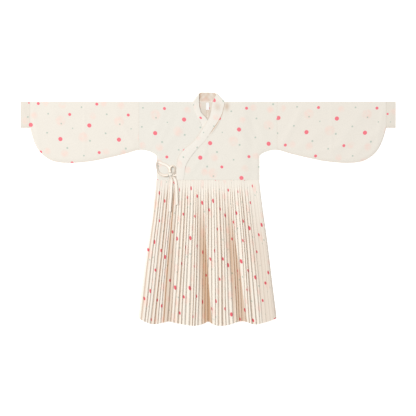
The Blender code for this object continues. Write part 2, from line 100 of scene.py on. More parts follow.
# Sleeves. Each is a tube of printed cotton, cut in one with a fold along its top, joined to
# the body by a plain seam and closed by a seam along its curved lower edge.
MM = 0.001
SHOULDER = 537.5
JOIN = 345.0
CUFF_START = 890.0
BACK_Z = 0.6
FRONT_Z = 3.8
GAP = 0.3
NO_SEAM = 50.0
SLEEVE_WALL = 0.8
SLEEVE_HANG = (
    (257.5, 272.5), (266, 264), (280, 256), (300, 248), (345, 242.5), (400, 257.5),
    (450, 270.5), (510, 284), (580, 298), (640, 305), (700, 307.5), (750, 303.5),
    (785, 294), (812, 278), (833, 260), (851, 238), (865, 212), (876, 184), (884, 158),
    (890, 134),
)


def curve(table, x, value=1):
    """The value column of a table read smoothly at x, its first column."""
    known = np.array([row[0] for row in table], float)
    wanted = np.array([row[value] for row in table], float)
    slope = np.gradient(wanted, known)
    x = np.clip(np.asarray(x, float), known[0], known[-1])
    place = np.clip(np.searchsorted(known, x, side="right") - 1, 0, len(known) - 2)
    span = known[place + 1] - known[place]
    t = (x - known[place]) / span
    rise = wanted[place + 1] - wanted[place]
    leaving = slope[place] * span * t * (1 - t) * (1 - t)
    arriving = slope[place + 1] * span * t * t * (1 - t)
    return wanted[place] + rise * t * t * (3 - 2 * t) + leaving - arriving


def blend(share):
    """A smooth step from 0 to 1."""
    share = np.clip(share, 0.0, 1.0)
    return share * share * (3 - 2 * share)


def crease(x, y, lines):
    """Height of soft creases: each line runs from a point to a point, with a width and a rise."""
    height = np.zeros(np.broadcast(x, y).shape)
    for x0, y0, x1, y1, width, rise in lines:
        run_x = x1 - x0
        run_y = y1 - y0
        length = math.hypot(run_x, run_y)
        along = ((x - x0) * run_x + (y - y0) * run_y) / length**2
        away = ((x - x0) * run_y - (y - y0) * run_x) / length
        ends = blend((along + 0.15) / 0.3) * blend((1.15 - along) / 0.3)
        height = height + rise * ends * np.exp(-(away / width) ** 2)
    return height


class Thread:
    """A socket of a cloth's shader; arithmetic on it adds the maths nodes."""

    def __init__(self, tree, socket):
        self.tree = tree
        self.socket = socket

    def node(self, kind, settings, inputs, output=0):
        """Any node: its settings first, then the values or links of its sockets."""
        made = self.tree.nodes.new(kind)
        for name, value in settings.items():
            setattr(made, name, value)
        for name, value in inputs.items():
            if isinstance(value, Thread):
                self.tree.links.new(value.socket, made.inputs[name])
            else:
                made.inputs[name].default_value = value
        return Thread(self.tree, made.outputs[output])

    def maths(self, operation, first, second):
        """A Math node, or Vector Math where either side is a vector."""
        kind = "ShaderNodeMath"
        sides = [first, second]
        if any(isinstance(side, Thread) and side.socket.type == "VECTOR" for side in sides):
            kind = "ShaderNodeVectorMath"
            sides = [(side,) * 3 if isinstance(side, (int, float)) else side for side in sides]
        return self.node(kind, {"operation": operation}, dict(enumerate(sides)))

    def __add__(self, other):
        return self.maths("ADD", self, other)

    def __radd__(self, other):
        return self.maths("ADD", other, self)

    def __sub__(self, other):
        return self.maths("SUBTRACT", self, other)

    def __rsub__(self, other):
        return self.maths("SUBTRACT", other, self)

    def __mul__(self, other):
        return self.maths("MULTIPLY", self, other)

    def __rmul__(self, other):
        return self.maths("MULTIPLY", other, self)

    def __lt__(self, other):
        return self.maths("LESS_THAN", self, other)


def colour(red, green, blue):
    """A screen colour from 0 to 255 as the linear one that a shader takes."""
    steps = []
    for level in (red, green, blue):
        level = level / 255
        steps.append(level / 12.92 if level <= 0.04045 else ((level + 0.055) / 1.055) ** 2.4)
    return (*steps, 1.0)


# The print is a plain scatter of coral, blush and sage spots, about 292.5 mm by 242 mm in the
# repeat. A spot is across, up and radius in mm, from the middle of one large coral spot.
REPEAT = ((292.5, -3.0), (12.0, -242.0))
PRINT = (
    ((0.0, 0.0, 10.5), (148, -71, 10.5), (37.5, 106.5, 7.5), (194.5, 52, 7.5)),
    (
        (17.5, 47.5, 15), (148.5, 21, 23), (157.5, 99.5, 17), (72, 110, 15), (-29, -58.5, 23),
    ),
    (
        (81.5, -39.5, 4.6), (209, -17, 3.4), (182.5, -115.5, 5), (3, -76.5, 5),
        (87, 55.5, 4.4), (253.5, 88, 4.4), (152.5, 6, 4.2),
    ),
)


def spots(place, repeat, group, soft):
    """How much of each point is covered by a group of the print's spots."""
    sides = np.linalg.inv(np.array(repeat).T)
    scale = (math.hypot(*repeat[0]), math.hypot(*repeat[1]), 0.0)
    nearest = None
    for x, y, radius in group:
        start = sides @ np.array((x, y))
        shift = (0.5 - float(start[0]), 0.5 - float(start[1]), 0.0)
        cell = place.node("ShaderNodeVectorMath", {"operation": "FRACTION"}, {0: place + shift})
        away = place.node(
            "ShaderNodeVectorMath", {"operation": "LENGTH"}, {0: (cell - 0.5) * scale}, 1
        )
        reach = away - radius
        nearest = reach if nearest is None else place.maths("MINIMUM", nearest, reach)
    return place.node(
        "ShaderNodeMapRange",
        {"interpolation_type": "SMOOTHSTEP"},
        {"Value": nearest, "From Min": soft, "From Max": -soft, "To Min": 0.0, "To Max": 1.0},
    )


IVORY = colour(240, 235, 226)
# Painted shade: the cloth is darkened towards this tan in folds, pleat valleys and hollows.
PAINTED_SHADE_TAN = colour(212, 176, 146)
CORAL = colour(247, 117, 133)
BLUSH = colour(250, 216, 205)
SAGE = colour(180, 198, 186)
THREAD_PITCH = 0.9
STITCH = 3.2
STITCH_INSET = 5.0
METRES_TO_MM = 1000.0


def cotton(name, ground, start=None, spot_groups=PRINT, repeat=REPEAT, skew=0.0, coral_ink=CORAL):
    """Plain-weave cotton. Where it is printed, start is the first spot's flat place in mm.

    skew shears the print: each mm up moves it by so many mm across.
    """
    made = bpy.data.materials.new(name)
    made.use_nodes = True
    tree = made.node_tree
    shader = tree.nodes["Principled BSDF"]
    shader.inputs["Sheen Weight"].default_value = 0.12
    shader.inputs["Sheen Roughness"].default_value = 0.6
    shader.inputs["Specular IOR Level"].default_value = 0.25
    flat = Thread(tree, None).node("ShaderNodeUVMap", {"uv_map": "flat"}, {})
    flat = flat * METRES_TO_MM

    def noise(scale, detail=2.0, stretch=(1.0, 1.0, 1.0)):
        return flat.node(
            "ShaderNodeTexNoise", {}, {"Vector": flat * stretch, "Scale": scale, "Detail": detail}
        )

    def mix(factor, first, second, blend_type="MIX"):
        return flat.node(
            "ShaderNodeMix",
            {"data_type": "RGBA", "blend_type": blend_type},
            {0: factor, 6: first, 7: second},
            2,
        )

    def darker(share):
        return tuple(level * share for level in ground[:3]) + (1.0,)

    cloud = noise(0.006, 3.0)
    slub_across = noise(1.0, 1.0, (0.05, 1.3, 1.0))
    slub_down = noise(1.0, 1.0, (1.3, 0.05, 1.0))
    slubs = slub_across + slub_down
    heather = noise(0.16, 2.0)
    shade = mix(cloud * 0.5, ground, darker(0.955))
    shade = mix((heather - 0.4) * 2.0, shade, darker(0.93))
    shade = mix((slubs - 0.82) * 0.35, shade, darker(0.86))
    if start is not None:
        sides = np.linalg.inv(np.array(repeat).T) @ np.array(((1.0, -skew), (0.0, 1.0)))
        moved = flat - (start[0], start[1], 0.0)
        wander = noise(0.035, 2.0)
        dots = [
            flat.node(
                "ShaderNodeVectorMath",
                {"operation": "DOT_PRODUCT"},
                {0: moved, 1: (float(row[0]), float(row[1]), 0.0)},
                1,
            )
            for row in sides
        ]
        place = flat.node("ShaderNodeCombineXYZ", {}, {"X": dots[0], "Y": dots[1], "Z": 0.0})
        coral, blush, sage = spot_groups
        wash = spots(place, repeat, blush, 8.5) * (wander * 1.4 - 0.3)
        shade = mix(wash, shade, BLUSH)
        shade = mix(spots(place, repeat, sage, 1.2) * 0.8, shade, SAGE)
        shade = mix(spots(place, repeat, coral, 1.3) * 0.96, shade, coral_ink)
    # Painted shade: the point attribute fold darkens the colour towards the tan in folds, pleat
    # valleys, under edges and round the collar.
    painted_shade_share = flat.node("ShaderNodeAttribute", {"attribute_name": "fold"}, {}, 2)
    shade = mix(painted_shade_share, shade, PAINTED_SHADE_TAN, "MULTIPLY")
    edge = flat.node("ShaderNodeUVMap", {"uv_map": "seam"}, {})
    along = flat.node("ShaderNodeSeparateXYZ", {}, {0: edge * METRES_TO_MM})
    away = Thread(tree, along.socket.node.outputs[1])
    valley = flat.node(
        "ShaderNodeMapRange",
        {},
        {"Value": away, "From Min": 0.2, "From Max": 1.6, "To Min": 1.0, "To Max": 0.0},
    )
    dash = flat.node("ShaderNodeMath", {"operation": "FRACT"}, {0: along * (1 / STITCH)}) < 0.68
    off_line = flat.node("ShaderNodeMath", {"operation": "ABSOLUTE"}, {0: away - STITCH_INSET})
    stitch = (off_line < 0.45) * dash
    # Painted shade in the groove along each seam; the same groove also dents the bump below.
    shade = mix(valley * 0.11, shade, PAINTED_SHADE_TAN, "MULTIPLY")
    shade = mix(stitch * 0.35, shade, colour(250, 246, 238))
    tree.links.new(shade.socket, shader.inputs["Base Color"])

    turns = flat * (2 * math.pi / THREAD_PITCH)
    warp = flat.node("ShaderNodeVectorMath", {"operation": "SINE"}, {0: turns})
    warp = flat.node("ShaderNodeSeparateXYZ", {}, {0: warp})
    weft = Thread(tree, warp.socket.node.outputs[1])
    threads = warp * weft * 0.5 + slubs * 0.6 + stitch * 1.2 - valley * 0.5
    bump = flat.node(
        "ShaderNodeBump", {}, {"Strength": 0.35, "Distance": 0.0002, "Height": threads}
    )
    tree.links.new(bump.socket, shader.inputs["Normal"])
    rough = slubs * 0.12 + 0.78
    tree.links.new(rough.socket, shader.inputs["Roughness"])
    return made


def cloth(name, points, flat, material, wall, seam=None, fold=None, keep=None):
    """A sheet through a grid of points, with its flat pattern as a UV map, and its thickness.

    seam holds how far along the nearest seam a point is and how far away from it. fold is the
    painted shade, 0 on open cloth and 1 deep in a fold. keep says which cells of the grid are
    cloth.
    """
    points = np.asarray(points, float)
    rows, columns = points.shape[:2]
    number = np.arange(rows * columns).reshape(rows, columns)
    quads = np.stack([number[:-1, :-1], number[:-1, 1:], number[1:, 1:], number[1:, :-1]], axis=-1)
    quads = quads[keep] if keep is not None else quads.reshape(-1, 4)
    spread = points.reshape(-1, 3)
    last = quads[-min(len(quads), columns - 1):]
    diagonal = spread[last[:, 2]] - spread[last[:, 0]]
    facing = np.cross(diagonal, spread[last[:, 3]] - spread[last[:, 1]])
    if facing[:, 2].sum() < 0:
        quads = quads[:, ::-1]
    used, faces = np.unique(quads, return_inverse=True)
    corners = faces.ravel()
    mesh = bpy.data.meshes.new(name)
    mesh.from_pydata((spread[used] * MM).tolist(), [], faces.reshape(-1, 4).tolist())
    for map_name, values in (("flat", flat), ("seam", seam)):
        if values is None:
            values = np.full((rows, columns, 2), NO_SEAM)
        layer = mesh.uv_layers.new(name=map_name)
        pairs = np.asarray(values, float).reshape(-1, 2)[used][corners] * MM
        layer.data.foreach_set("uv", pairs.ravel())
    # The painted shade is kept on the mesh as the point attribute fold, for the shader.
    if fold is None:
        fold = np.zeros((rows, columns))
    mesh.attributes.new("fold", "FLOAT", "POINT").data.foreach_set("value", fold.ravel()[used])
    mesh.shade_smooth()
    mesh.materials.append(material)
    piece = bpy.data.objects.new(name, mesh)
    bpy.context.scene.collection.objects.link(piece)
    solid = piece.modifiers.new("wall", "SOLIDIFY")
    solid.thickness = wall * MM
    solid.offset = 0.0
    bpy.ops.object.select_all(action="DESELECT")
    piece.select_set(True)
    bpy.context.view_layer.objects.active = piece
    bpy.ops.object.modifier_apply(modifier=solid.name)
    edge_of = np.empty(len(piece.data.loops), int)
    piece.data.loops.foreach_get("edge_index", edge_of)
    sharp = np.zeros(len(piece.data.edges), bool)
    sharp[edge_of[8 * len(quads):]] = True
    piece.data.attributes.new("sharp_edge", "BOOLEAN", "EDGE").data.foreach_set("value", sharp)
    return piece


def sew_on(piece, nodes):
    """Fix a finished piece to the shirt and hide the imported parts that it dresses."""
    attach(piece, "root")
    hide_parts(*nodes)


def fold_over(top, radius, low_z, steps):
    """Up and height of the steps round a fold whose top touches up = top, back to front."""
    turn = np.pi * (np.arange(1, steps) / steps - 0.5)
    up = top - radius + radius * np.cos(turn)
    return up, low_z + radius + radius * np.sin(turn)


SLEEVE_ROWS = 46
FOLD_STEPS = 6
SLEEVE_CREASES = (
    (360, 300, 470, 500, 16, 1.1), (400, 275, 620, 420, 20, 0.9), (480, 262, 700, 330, 15, 0.9),
    (600, 250, 800, 520, 24, 0.8), (700, 240, 860, 400, 18, 0.9), (520, 520, 820, 470, 22, 0.7),
    (617, 232, 617, 536, 4, 0.7), (840, 300, 880, 520, 12, 0.7), (350, 420, 560, 400, 24, 0.6),
)


def tube(name, side, stations, hang_at, wall, creases, material):
    """A flattened tube, from the back's lower seam over the top fold to the front's seam."""
    x = np.asarray(stations, float)
    low = SHOULDER - hang_at(x)
    radius = (FRONT_Z - BACK_Z) / 2
    top = SHOULDER - 0.4
    crown = top - radius
    rise = np.concatenate(([0.0, 0.004, 0.012, 0.03], np.linspace(0.06, 1.0, SLEEVE_ROWS - 4)))
    fold_up, fold_z = fold_over(top, radius, BACK_Z, FOLD_STEPS)
    up, height, flat_up = [], [], []
    for share in rise:
        up.append(low + (crown - low) * share)
        height.append(np.full_like(x, BACK_Z))
        flat_up.append(2 * SHOULDER - up[-1])
    for step in range(len(fold_up)):
        up.append(np.full_like(x, fold_up[step]))
        height.append(np.full_like(x, fold_z[step]))
        flat_up.append(np.full_like(x, SHOULDER + (len(fold_up) / 2 - step)))
    lip = BACK_Z + wall + GAP
    for share in rise[::-1]:
        here = low + (crown - low) * share
        level = lip + (FRONT_Z - lip) * blend((here - low) / 16.0)
        soft = blend((here - low) / 40.0) * blend((crown - here) / 30.0)
        up.append(here)
        height.append(level + soft * crease(x, here, creases))
        flat_up.append(here)
    up, height, flat_up = np.array(up), np.array(height), np.array(flat_up)
    across = np.broadcast_to(side * x, up.shape)
    points = np.stack([across, up, height], axis=-1)
    flat = np.stack([across, flat_up], axis=-1)
    to_start = np.broadcast_to(x - x[0], up.shape)
    to_end = np.broadcast_to(x[-1] - x, up.shape)
    to_low = up - low
    to_side = np.minimum(to_start, to_end)
    seam = np.stack([np.where(to_side < to_low, up, across), np.minimum(to_side, to_low)], axis=-1)
    # Painted shade along the lower edge of the sleeve's front.
    rim = np.zeros(up.shape)
    rim[-len(rise):] = 0.12 * np.exp(-((up[-len(rise):] - low) / 7) ** 2)
    return cloth(name, points, flat, material, wall, seam, rim)


SLEEVE_PRINTS = (("right", -1, (-885.5, 420.5), 0.0), ("left", 1, (644.0, 452.0), 0.11))
sleeve_stations = np.linspace(JOIN + GAP / 2, CUFF_START - GAP / 2, 92)
for word, side, spot, skew in SLEEVE_PRINTS:
    sleeve = tube(
        "sleeve_cloth_" + word,
        side,
        sleeve_stations,
        lambda across: curve(SLEEVE_HANG, across),
        SLEEVE_WALL,
        SLEEVE_CREASES,
        cotton("printed cotton, sleeve " + word, IVORY, spot, skew=skew),
    )
    sew_on(sleeve, ["sleeve_" + word])


# Cuffs. A straight band of the same cotton, doubled, sewn round the end of each sleeve and
# topstitched 5 mm from its seam.
HALF_SPAN = 937.5
CUFF_DEPTH = 132.0
CUFF_WALL = 1.3
FEW_SPOTS = ((1300.0, 0.0), (0.0, 1300.0))
CUFF_PRINTS = (
    (
        "right", -1, (-885.5, 420.5),
        (((0, 0, 10.5), (-9.5, 109.5, 4)), ((-24.5, 19.5, 17),), ((-14.5, 39.5, 4.6),)),
    ),
    ("left", 1, (897.5, 475.0), (((0, 0, 5.5),), ((29.5, 10, 14),), ((14, -40, 3),))),
)
cuff_stations = np.linspace(CUFF_START + GAP / 2, HALF_SPAN, 16)
for word, side, spot, chart in CUFF_PRINTS:
    cuff = tube(
        "cuff_cloth_" + word,
        side,
        cuff_stations,
        lambda across: np.full_like(across, CUFF_DEPTH),
        CUFF_WALL,
        ((905, 410, 925, 530, 8, 0.4),),
        cotton("printed cotton, cuff " + word, colour(235, 229, 219), spot, chart, FEW_SPOTS),
    )
    sew_on(cuff, ["cuff_" + word])


# Body. Each half is one cut of printed cotton, back and front in one with a fold at the
# shoulder, hollowed at the neck. The halves meet in seams down the middle back and front.
WAIST = 145.0
HALF_CHEST = 257.5
UNDERARM = 272.5
OUTER_Z = 6.6
BODY_WALL = 0.8
BACK_NECK = 535.3
BAND_LOWER = (
    (-20.0, 415.0, 17.5, 390.0), (-55.0, 360.0, -22.0, 333.5), (-82.0, 330.0, -53.5, 301.0),
    (-125.0, 295.0, -87.5, 258.5), (-150.0, 255.0, -110.0, 220.0),
    (-158.5, 205.0, -117.0, 187.5), (-158.5, 145.3, -122.5, 145.3),
)
BAND_OUTER = (
    (42.5, 577.0, 82.5, 533.9), (30.0, 550.0, 79.0, 512.0), (21.5, 527.5, 75.0, 497.0),
    (16.5, 495.0, 71.0, 480.0), (3.0, 452.5, 45.5, 431.0),
) + BAND_LOWER
BAND_INNER = (
    (44.0, 578.0, 78.5, 535.3), (45.0, 530.0, 73.5, 515.0), (36.0, 486.5, 62.0, 475.0),
    (7.0, 451.5, 40.0, 436.0),
) + BAND_LOWER
# Strengths of the painted shade inside the neck and of the painted shadow beside the band.
NECK_PAINTED_SHADE = 0.2
BAND_PAINTED_SHADOW = 0.8
LIP_Z = 2.1
COLUMN_WIDTH = 5.5
ARM_ROWS = 12
FRONT_LOW_ROWS = 26
BODY_CREASES = (
    (250, 275, 120, 420, 18, 1.0), (262, 285, 180, 470, 14, 0.8), (230, 200, 60, 240, 18, 0.7),
    (240, 160, 90, 330, 24, 0.6), (300, 300, 200, 520, 20, 0.8), (110, 520, 160, 380, 18, 0.6),
    (330, 330, 250, 420, 16, 0.7),
)


def plain_outside(piece, level):
    """Keep the painted shade on the cloth's inner face alone, the one above the level."""
    places = np.empty(3 * len(piece.data.vertices))
    piece.data.vertices.foreach_get("co", places)
    tint = piece.data.attributes["fold"].data
    painted_shade_share = np.empty(len(tint))
    tint.foreach_get("value", painted_shade_share)
    tint.foreach_set("value", np.where(places[2::3] < level * MM, 0.0, painted_shade_share))
    return piece


def front_level(across, up, outer):
    """Middle of the front's cloth above the table, lower at the side and sleeve seams."""
    full = np.full(np.broadcast(across, up).shape, FRONT_Z)
    if outer:
        full = OUTER_Z + (FRONT_Z - OUTER_Z) * blend((across - 170.0) / 60.0) + 0 * full
    hang = curve(SLEEVE_HANG, np.maximum(across, HALF_CHEST))
    rim = np.maximum(HALF_CHEST - across, 0.0)
    low = (across > HALF_CHEST) | (up > SHOULDER - UNDERARM)
    rim = np.where(low, np.maximum(rim, up - (SHOULDER - hang)), rim)
    return LIP_Z + (full - LIP_Z) * blend(rim / 14.0)


def body_half(name, side, outer, band, first, material):
    """One half: rows from the back's waist over the shoulder fold to the front's waist."""
    seam_rows = sorted((row[2], row[3]) for row in band)
    line_x = [row[0] for row in seam_rows]
    line_y = [row[1] for row in seam_rows]
    neck = line_x[-1] + 1.1
    places = [first] + [x + GAP for x in line_x if x + GAP > first] + [neck]
    steps = []
    for near, far in zip(places, places[1:]):
        steps.append(np.linspace(near, far, max(2, int((far - near) / COLUMN_WIDTH) + 1))[:-1])
    steps.append(np.linspace(neck, HALF_CHEST, 31)[:-1])
    steps.append(np.linspace(HALF_CHEST, JOIN - GAP / 2, 17))
    x = np.concatenate(steps)
    wide = (OUTER_Z - BACK_Z) / 2
    narrow = (FRONT_Z - BACK_Z) / 2
    radius = np.full_like(x, narrow)
    if outer:
        radius = wide + (narrow - wide) * blend((x - 83.0) / 120.0)
    crown = SHOULDER - 0.6 - radius
    arm = SHOULDER - curve(SLEEVE_HANG, np.maximum(x, HALF_CHEST))
    bottom = WAIST + GAP
    cut = x < neck
    front_top = np.where(cut, np.interp(x - GAP, line_x, line_y) - GAP, crown)
    at_neck = float(np.interp(neck, x, crown))
    back_top = np.where(cut, BACK_NECK + (at_neck - BACK_NECK) * np.clip(x, 0, None) / neck, crown)
    if not outer:
        back_top = np.where(cut, np.minimum(BACK_NECK, at_neck), crown)
    arm_front = np.minimum(arm, bottom + 0.7 * (front_top - bottom))
    up = []
    for share in np.linspace(0, 1, ARM_ROWS)[:-1]:
        up.append(bottom + (arm - bottom) * share)
    for share in np.linspace(0, 1, 26):
        up.append(arm + (back_top - arm) * share)
    back_rows = len(up)
    height = [np.full_like(x, BACK_Z) for _ in up]
    flat_up = [2 * SHOULDER - row for row in up]
    for step in range(1, FOLD_STEPS):
        turn = math.pi * (step / FOLD_STEPS - 0.5)
        up.append(crown + radius * math.cos(turn))
        height.append(BACK_Z + radius + radius * math.sin(turn))
        flat_up.append(np.full_like(x, SHOULDER + FOLD_STEPS / 2 - step))
    fold_rows = len(up)
    kept = 1.0 if outer else 0.8
    creases = [(*line[:-1], line[-1] * kept) for line in BODY_CREASES]
    front = [arm_front + (front_top - arm_front) * share for share in np.linspace(1, 0, 40)]
    for share in np.linspace(1, 0, FRONT_LOW_ROWS)[1:]:
        front.append(bottom + (arm_front - bottom) * share)
    for row in front:
        soft = blend((HALF_CHEST + 60 - x) / 50.0) * blend((front_top - row) / 30.0)
        soft = soft * blend((row - bottom) / 24.0)
        soft = soft * blend((row - arm + 60 + 400 * (x < HALF_CHEST)) / 40.0)
        below = (front_top - row) * 0.62
        ridge = outer * 2.0 * np.exp(-((below - 7.0) / 3.6) ** 2)
        ridge = ridge * blend((x - 8) / 20) * blend((72 - x) / 20)
        up.append(row)
        height.append(front_level(x, row, outer) + soft * crease(x, row, creases) + ridge)
        flat_up.append(row)
    up, height, flat_up = np.array(up), np.array(height), np.array(flat_up)
    keep = np.ones((len(up) - 1, len(x) - 1), bool)
    start = x[:-1]
    keep[back_rows - 1:fold_rows, start < neck - 0.01] = False
    keep[:back_rows - 1, start < -0.01] = False
    keep[:ARM_ROWS - 1, start >= HALF_CHEST - 0.01] = False
    keep[-(FRONT_LOW_ROWS - 1):, start >= HALF_CHEST - 0.01] = False
    across = np.broadcast_to(side * x, up.shape)
    edges = [np.abs(x - x[-1]) + 0 * up, np.abs(x) + 1.6 + 0 * up]
    if not outer:
        edges[1] = np.where(np.arange(len(up))[:, None] < back_rows, edges[1], NO_SEAM)
    away = np.minimum(edges[0], edges[1])
    edge_waist = np.abs(up - bottom)
    along = np.where(away < edge_waist, up, across)
    seam = np.stack([along, np.minimum(away, edge_waist)], axis=-1)
    points = np.stack([across, up, height], axis=-1)
    # Painted shade inside the back neck, darker towards the V, and a painted shadow under the
    # label.
    painted_collar_shade = np.zeros(up.shape)
    back_up = up[:back_rows]
    to_apex = blend((535 - back_up) / 90)
    in_neck = NECK_PAINTED_SHADE * (1 + to_apex) * blend((105 - x) / 30)
    painted_collar_shade[:back_rows] = in_neck * blend((back_up - 410) / 20)
    painted_collar_shade[:back_rows] += 0.5 * np.exp(-((side * x + 2) / 6) ** 2 - ((back_up - 488) / 7) ** 2)
    # Painted shadow beside the band on the outer front, and a patch of painted shade on the
    # shoulder beside the collar.
    front_up = up[fold_rows:]
    beside = BAND_PAINTED_SHADOW * outer * np.exp(-((front_top - front_up) / 9) ** 2)
    painted_collar_shade[fold_rows:] = beside * (x < neck) * blend(x / 30)
    dip = np.exp(-((x - 94) / 12) ** 2) * np.exp(-((front_up - 512) / 20) ** 2)
    painted_collar_shade[fold_rows:] += 0.6 * outer * dip
    flat = np.stack([across, flat_up], axis=-1)
    half = cloth(name, points, flat, material, BODY_WALL, seam, painted_collar_shade, keep)
    return plain_outside(half, BACK_Z)


body_right = body_half(
    "body_cloth_right", -1, False, BAND_INNER, -121.6,
    cotton("printed cotton, body right", colour(237, 234, 226), (-119.5, 447.0)),
)
sew_on(body_right, ["body_right"])
body_left = body_half(
    "body_cloth_left", 1, True, BAND_OUTER, 0.05,
    cotton("printed cotton, body left", colour(239, 235, 226), (155.0, 397.0)),
)
sew_on(body_left, ["body_left"])


# Overlap. The outer front is pieced out past the middle seam with a strip of the same
# cotton, which ends under the band's sewn edge.
OVERLAP_TOP = 357.0
OVERLAP_CREASES = ((-100, 165, 0, 300, 18, 0.9), (-60, 150, -10, 230, 14, 0.6))
line_up, line_across = zip(*sorted((row[3], row[2]) for row in BAND_LOWER))
overlap_up = np.linspace(WAIST + GAP, OVERLAP_TOP, 54)
overlap_edge = np.interp(overlap_up + GAP, line_up, line_across) + GAP
share = np.linspace(0, 1, 26)[None, :]
across = overlap_edge[:, None] + (-0.05 - overlap_edge[:, None]) * share
up = np.broadcast_to(overlap_up[:, None], across.shape)
soft = blend((across - overlap_edge[:, None]) / 20.0) * blend(-across / 14.0)
soft = soft * blend((up - WAIST) / 24.0)
height = OUTER_Z + soft * crease(across, up, OVERLAP_CREASES)
away = np.minimum(1.6 - across, up - WAIST - GAP)
seam = np.stack([np.where(-across < up - WAIST, up, across), away], axis=-1)
overlap = cloth(
    "overlap_cloth",
    np.stack([across, up, height], axis=-1),
    np.stack([across, up], axis=-1),
    cotton("printed cotton, overlap", colour(238, 235, 226), (-186.5, 327.5)),
    BODY_WALL,
    seam,
)
sew_on(overlap, ["front_overlap"])


# Collar band. One long straight strip of plain printed cotton, doubled and stiffened, sewn
# round the neck and down both fronts. It stands up at the back neck and folds at the sides.
BAND_WALL = 1.6
BACK_BAND_Z = 1.0
INNER_BAND_Z = 4.2
OUTER_BAND_Z = 6.8
SLANT = 1.45
BAND_WIDE = 46.0
BAND_BACK = (
    (-37.2, 581.5, -66.0, 535.6), (-18.6, 583.0, -33.0, 535.6), (0.0, 583.0, 0.0, 535.6),
    (18.6, 582.5, 33.0, 535.0), (36.0, 580.0, 63.8, 534.5),
)
band_rows = []
for row in reversed(BAND_INNER):
    band_rows.append((-row[0], row[1], INNER_BAND_Z, -row[2], row[3], INNER_BAND_Z))
free_x, free_y, seam_x, seam_y = BAND_INNER[0]
for turn in (45, 0, -45, -90):
    lean = math.cos(math.radians(turn))
    reach = (INNER_BAND_Z - BACK_BAND_Z) / 2
    level = BACK_BAND_Z + reach * (1 + math.sin(math.radians(turn)))
    band_rows.append((-free_x, free_y + SLANT * reach * lean, level,
                      -seam_x + GAP * lean, seam_y + max(SLANT * reach * lean, 2 * GAP), level))
for free_x, free_y, seam_x, seam_y in BAND_BACK:
    band_rows.append((free_x, free_y, BACK_BAND_Z, seam_x, seam_y + GAP, BACK_BAND_Z))
free_x, free_y, seam_x, seam_y = BAND_OUTER[0]
for turn in (-90, -45, 0, 45):
    lean = math.cos(math.radians(turn))
    reach = (OUTER_BAND_Z - BACK_BAND_Z) / 2
    level = BACK_BAND_Z + reach * (1 + math.sin(math.radians(turn)))
    band_rows.append((free_x, free_y + SLANT * reach * lean, level,
                      seam_x - GAP * lean, seam_y + max(SLANT * reach * lean, 2 * GAP), level))
for row in BAND_OUTER:
    band_rows.append((row[0], row[1], OUTER_BAND_Z, row[2], row[3], OUTER_BAND_Z))
band_rows = np.array(band_rows)
middle = (band_rows[:, :3] + band_rows[:, 3:]) / 2
length = np.concatenate(([0.0], np.cumsum(np.linalg.norm(np.diff(middle, axis=0), axis=1))))
samples = np.unique(np.concatenate([np.linspace(0, length[-1], 260), length]))
smooth_rows = [curve(list(zip(length, band_rows[:, k])), samples) for k in range(6)]
smooth_rows = np.stack(smooth_rows, axis=1)
share = np.linspace(0, 1, 13)[None, :]
free, sewn = smooth_rows[:, None, :3], smooth_rows[:, None, 3:]
points = free + (sewn - free) * share[..., None]
flat = np.stack([np.broadcast_to(share * BAND_WIDE, points.shape[:2]),
                 np.broadcast_to(samples[:, None], points.shape[:2])], axis=-1)
away = np.minimum(share * BAND_WIDE + 1.8, (1 - share) * BAND_WIDE)
seam = np.stack([flat[..., 1], np.broadcast_to(away, points.shape[:2])], axis=-1)
BAND_PRINT = (
    ((2, -2, 7.5), (-24, 274, 7.5), (-27, 573, 5)),
    ((14, 60, 11), (5, 342, 14), (-12, 640, 15), (10, 160, 12), (-16, 480, 10)),
    ((16, 75, 4.4), (12, 247, 4.4), (16, 386, 4.2), (14, 517, 4.4), (-10, 440, 3.6), (-6, 600, 4)),
)
# Painted shade on the band: mottled on the inside of its standing back, in the dip where it bends
# at the side of the neck (which also lowers it), and as a thin line along its free edge down the
# front.
at_back = blend((points[..., 1] - 520) / 30) * (points[..., 2] < 2.5)
painted_collar_shade = at_back * (0.38 + 0.3 * np.exp(-((points[..., 0] + 35) / 12) ** 2))
dip = np.exp(-((samples - 662) / 20) ** 2)[:, None] * np.sin(np.pi * share) ** 2
mottle = np.sin(samples * 0.21)[:, None] * np.sin(share * 9.0)
mottle = mottle + np.sin(samples * 0.13 + 1)[:, None]
painted_collar_shade = painted_collar_shade * (1 + 0.28 * mottle) + 0.34 * dip
painted_collar_shade = painted_collar_shade + 0.26 * (share == 0) * blend((samples - 700) / 30)[:, None]
points[..., 2] = np.maximum(points[..., 2], BACK_BAND_Z) - 0.5 * dip
points[..., 2] += 0.5 * np.sin(np.pi * share) ** 2 * (points[..., 2] > 3.5)
band = cloth(
    "collar_band_cloth",
    points,
    flat,
    cotton(
        "printed cotton, collar band", colour(243, 239, 231), (26.0, 370.0), BAND_PRINT, FEW_SPOTS
    ),
    BAND_WALL,
    seam,
    painted_collar_shade,
)
plain_outside(band, BACK_BAND_Z)
sew_on(band, ["collar_band"])


